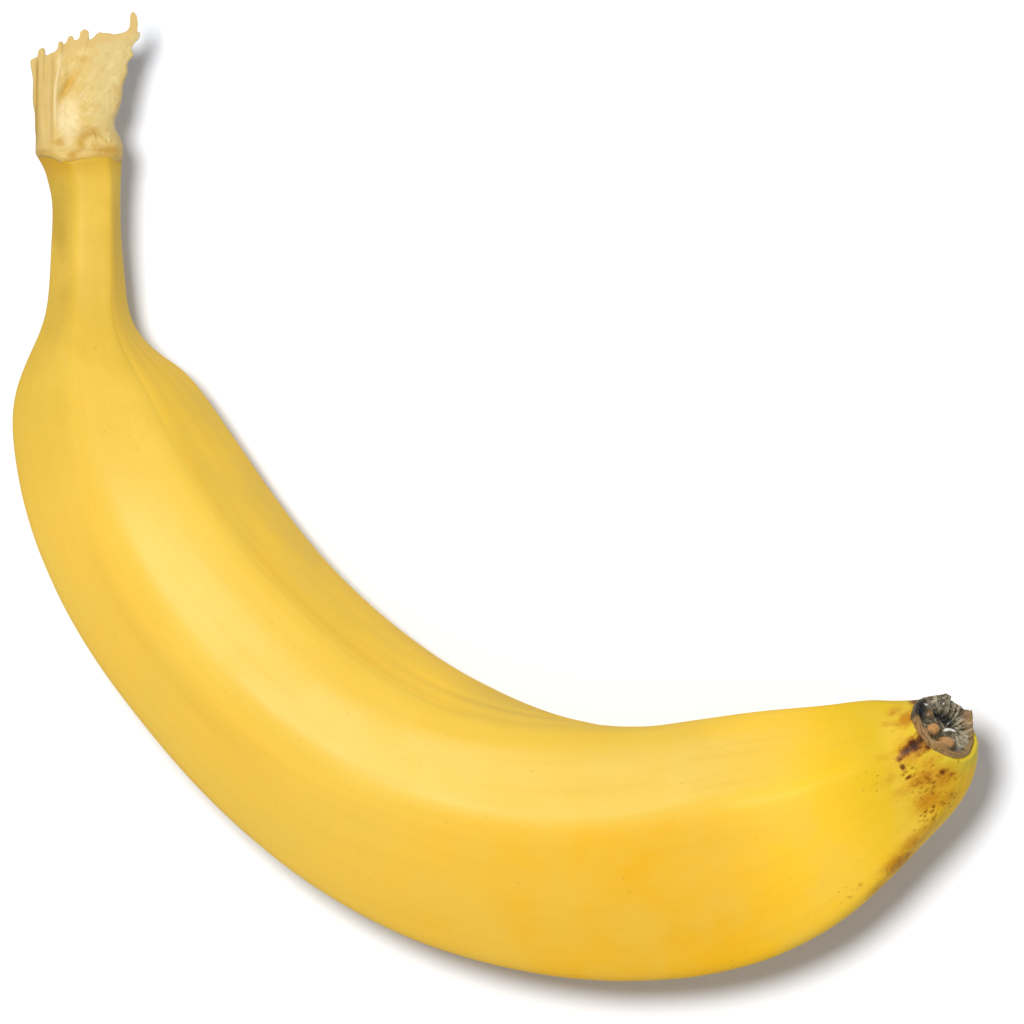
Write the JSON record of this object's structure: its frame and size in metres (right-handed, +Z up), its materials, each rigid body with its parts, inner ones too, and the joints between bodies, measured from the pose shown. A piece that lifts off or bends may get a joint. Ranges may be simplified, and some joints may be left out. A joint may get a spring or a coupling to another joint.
{
  "type": "banana",
  "caption": "Ripe yellow banana with five soft ridges, a torn flap of crown at the stem and a dried blossom remnant, lying on its side.",
  "frame": {"origin": "centre of the bounding box in plan, at the height of the surface that the banana lies on", "axes": "+X along the longest extent, from the stem to the blossom end; +Y towards the hollow side of the bow; +Z up from the surface"},
  "size_m": [0.1782, 0.0893, 0.0362],
  "materials": {
    "peel": "satin waxy peel"
  },
  "bodies": {
    "root": {"banana": "peel"}
  },
  "joints": []
}
